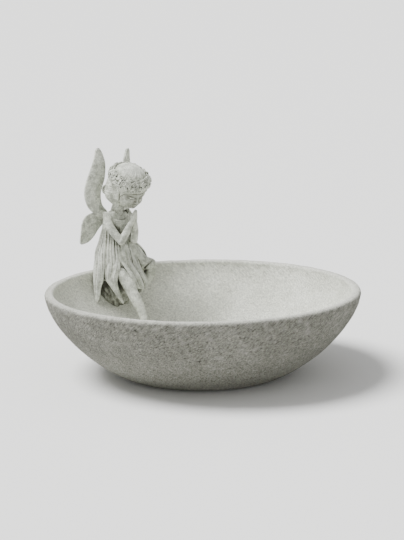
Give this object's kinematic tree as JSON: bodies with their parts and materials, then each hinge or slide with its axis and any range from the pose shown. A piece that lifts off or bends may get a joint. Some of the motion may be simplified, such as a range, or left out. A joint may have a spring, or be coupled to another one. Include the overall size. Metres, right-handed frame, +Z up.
{
  "type": "fairy bird bath",
  "caption": "Round cast stone garden bird bath: a wide open bowl with a small winged child in a petal dress seated on its rim.",
  "frame": {"origin": "centre of the bowl's flat underside", "axes": "+Z up, out of the open top; +X to the right and +Y away from someone who looks at the front, so that the figure sits at the back left"},
  "size_m": [0.4, 0.4, 0.2709],
  "materials": {
    "bowl_stone": "coarse cast stone, matt",
    "fairy_stone": "fine cast stone, matt"
  },
  "bodies": {
    "root": {"bowl": "bowl_stone", "fairy": "fairy_stone"}
  },
  "joints": []
}
